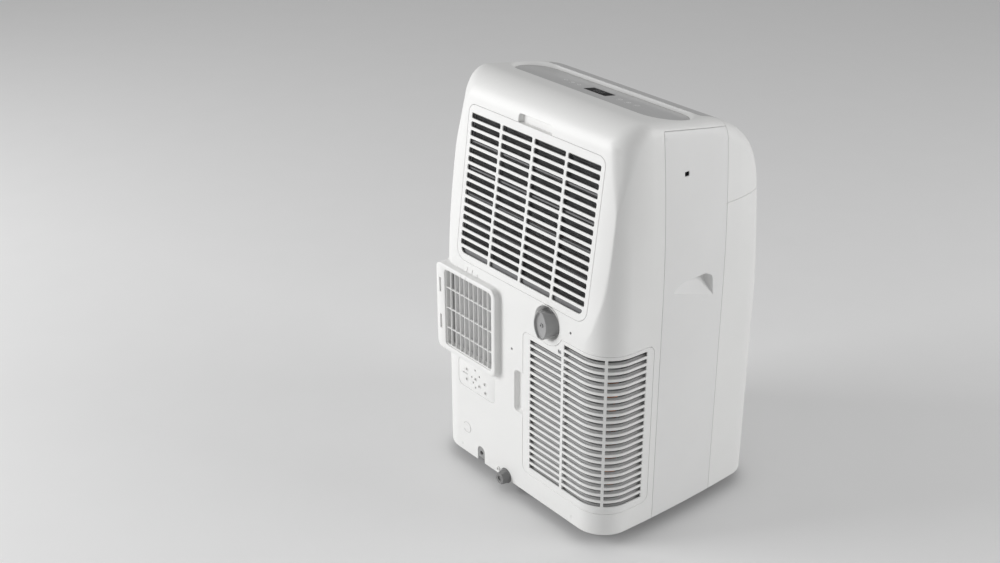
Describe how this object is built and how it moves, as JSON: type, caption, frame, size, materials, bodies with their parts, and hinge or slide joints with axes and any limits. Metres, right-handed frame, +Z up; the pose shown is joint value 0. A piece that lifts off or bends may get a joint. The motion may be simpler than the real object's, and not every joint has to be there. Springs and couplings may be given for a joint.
{
  "type": "portable air conditioner",
  "caption": "Portable air conditioner casing on swivel casters, with opening rear grilles, exhaust outlet, louvre, drains and the cooling circuit inside.",
  "frame": {"origin": "on the floor, under the middle of the object's overall box", "axes": "+Z up, +Y towards the rear with the exhaust outlet, -Y towards the front with the louvre, +X and -X the two sides"},
  "size_m": [0.467, 0.413, 0.765],
  "materials": {
    "white_plastic": "fine satin texture",
    "side_plastic": "fine satin texture",
    "control_plastic": "smooth satin",
    "dark_plastic": "matt",
    "knob_plastic": "fine satin texture",
    "display_black": "gloss",
    "circuit_board": "satin",
    "filter_mesh": "woven mesh in a frame",
    "plug_rubber": "matt",
    "wheel_rubber": "matt",
    "black_steel": "satin paint",
    "fin_aluminium": "thin stamped fins",
    "pipe_copper": "drawn tube",
    "screw_steel": "zinc plated"
  },
  "bodies": {
    "root": {"rear_shell": "white_plastic", "side_panel_left": "side_plastic", "side_panel_right": "side_plastic", "front_panel": "white_plastic", "outlet_surround": "white_plastic", "base_tray": "dark_plastic", "control_panel": "control_plastic", "display_lens": "display_black", "control_board": "circuit_board", "sensor_window": "display_black", "exhaust_outlet": "white_plastic", "exhaust_grid": "white_plastic", "exhaust_screen": "control_plastic", "plug_holder": "white_plastic", "drain_socket": "white_plastic", "drain_spout": "dark_plastic", "cord_grommet": "dark_plastic", "case_screws": "screw_steel", "evaporator_coil": "fin_aluminium", "condenser_coil": "fin_aluminium", "compressor": "black_steel", "compressor_feet": "plug_rubber", "accumulator": "black_steel", "refrigerant_pipes": "pipe_copper", "evaporator_scroll": "white_plastic", "evaporator_motor": "black_steel", "condenser_scroll": "white_plastic", "condenser_motor": "black_steel", "drip_tray": "white_plastic", "outlet_duct": "white_plastic", "capacitor_box": "control_plastic", "plug_tether": "white_plastic"},
    "upper_grille": {"upper_grille": "white_plastic", "upper_filter": "filter_mesh"},
    "lower_grille": {"lower_grille": "white_plastic", "lower_filter": "filter_mesh", "grille_screw": "screw_steel"},
    "louvre": {"louvre": "control_plastic"},
    "vane_1": {"vane_1": "dark_plastic"},
    "vane_2": {"vane_2": "dark_plastic"},
    "vane_3": {"vane_3": "dark_plastic"},
    "vane_4": {"vane_4": "dark_plastic"},
    "vane_link": {"vane_link": "dark_plastic"},
    "evaporator_fan": {"evaporator_fan": "dark_plastic", "evaporator_shaft": "screw_steel"},
    "condenser_fan": {"condenser_fan": "dark_plastic", "condenser_shaft": "screw_steel"},
    "drain_knob": {"drain_knob": "knob_plastic"},
    "drain_plug": {"drain_plug": "plug_rubber"},
    "caster_fork_1": {"caster_fork_1": "black_steel"},
    "caster_wheel_1": {"caster_wheel_1": "wheel_rubber"},
    "caster_fork_2": {"caster_fork_2": "black_steel"},
    "caster_wheel_2": {"caster_wheel_2": "wheel_rubber"},
    "caster_fork_3": {"caster_fork_3": "black_steel"},
    "caster_wheel_3": {"caster_wheel_3": "wheel_rubber"},
    "caster_fork_4": {"caster_fork_4": "black_steel"},
    "caster_wheel_4": {"caster_wheel_4": "wheel_rubber"}
  },
  "joints": [
    {"name": "upper_grille_tilt", "type": "hinge", "parent": "root", "child": "upper_grille", "pos_m": [0, 0.1853, 0.43082], "axis": [-1, 0, 0], "range_deg": [0, 30]},
    {"name": "lower_grille_swing", "type": "hinge", "parent": "root", "child": "lower_grille", "pos_m": [-0.2302, 0.0865, 0.223], "axis": [0, 0, 1], "range_deg": [0, 40]},
    {"name": "louvre_swing", "type": "hinge", "parent": "root", "child": "louvre", "pos_m": [0, -0.056, 0.7345], "axis": [-1, 0, 0], "range_deg": [0, 70]},
    {"name": "vane_1_swing", "type": "hinge", "parent": "root", "child": "vane_1", "pos_m": [-0.12, -0.018, 0.67], "axis": [0, 0, 1], "range_deg": [-30, 30]},
    {"name": "vane_2_swing", "type": "hinge", "parent": "root", "child": "vane_2", "pos_m": [-0.04, -0.018, 0.67], "axis": [0, 0, 1], "range_deg": [-30, 30]},
    {"name": "vane_3_swing", "type": "hinge", "parent": "root", "child": "vane_3", "pos_m": [0.04, -0.018, 0.67], "axis": [0, 0, 1], "range_deg": [-30, 30]},
    {"name": "vane_4_swing", "type": "hinge", "parent": "root", "child": "vane_4", "pos_m": [0.12, -0.018, 0.67], "axis": [0, 0, 1], "range_deg": [-30, 30]},
    {"name": "vane_link_pivot", "type": "hinge", "parent": "vane_1", "child": "vane_link", "pos_m": [-0.12, -0.042, 0.6975], "axis": [0, 0, 1], "range_deg": [-30, 30]},
    {"name": "evaporator_fan_spin", "type": "hinge", "parent": "root", "child": "evaporator_fan", "pos_m": [0, 0.004, 0.532], "axis": [0, 1, 0], "continuous": true},
    {"name": "condenser_fan_spin", "type": "hinge", "parent": "root", "child": "condenser_fan", "pos_m": [0.112, 0.032, 0.29], "axis": [1, 0, 0], "continuous": true},
    {"name": "drain_knob_turn", "type": "hinge", "parent": "root", "child": "drain_knob", "pos_m": [-0.0815, 0.192, 0.3965], "axis": [0, 1, 0], "range_deg": [0, 90]},
    {"name": "drain_plug_pull", "type": "slide", "parent": "root", "child": "drain_plug", "axis": [0, 1, 0], "range_m": [0, 0.025]},
    {"name": "caster_1_swivel", "type": "hinge", "parent": "root", "child": "caster_fork_1", "pos_m": [0.168, 0.126, 0.06], "axis": [0, 0, 1], "continuous": true},
    {"name": "caster_1_roll", "type": "hinge", "parent": "caster_fork_1", "child": "caster_wheel_1", "pos_m": [0.168, 0.112, 0.019], "axis": [1, 0, 0], "continuous": true},
    {"name": "caster_2_swivel", "type": "hinge", "parent": "root", "child": "caster_fork_2", "pos_m": [-0.168, 0.126, 0.06], "axis": [0, 0, 1], "continuous": true},
    {"name": "caster_2_roll", "type": "hinge", "parent": "caster_fork_2", "child": "caster_wheel_2", "pos_m": [-0.168, 0.112, 0.019], "axis": [1, 0, 0], "continuous": true},
    {"name": "caster_3_swivel", "type": "hinge", "parent": "root", "child": "caster_fork_3", "pos_m": [0.168, -0.142, 0.06], "axis": [0, 0, 1], "continuous": true},
    {"name": "caster_3_roll", "type": "hinge", "parent": "caster_fork_3", "child": "caster_wheel_3", "pos_m": [0.168, -0.128, 0.019], "axis": [1, 0, 0], "continuous": true},
    {"name": "caster_4_swivel", "type": "hinge", "parent": "root", "child": "caster_fork_4", "pos_m": [-0.168, -0.142, 0.06], "axis": [0, 0, 1], "continuous": true},
    {"name": "caster_4_roll", "type": "hinge", "parent": "caster_fork_4", "child": "caster_wheel_4", "pos_m": [-0.168, -0.128, 0.019], "axis": [1, 0, 0], "continuous": true}
  ],
  "couplings": [
    {"joint": "vane_2_swing", "follows": "vane_1_swing", "ratio": 1},
    {"joint": "vane_3_swing", "follows": "vane_1_swing", "ratio": 1},
    {"joint": "vane_4_swing", "follows": "vane_1_swing", "ratio": 1},
    {"joint": "vane_link_pivot", "follows": "vane_1_swing", "ratio": -1}
  ]
}
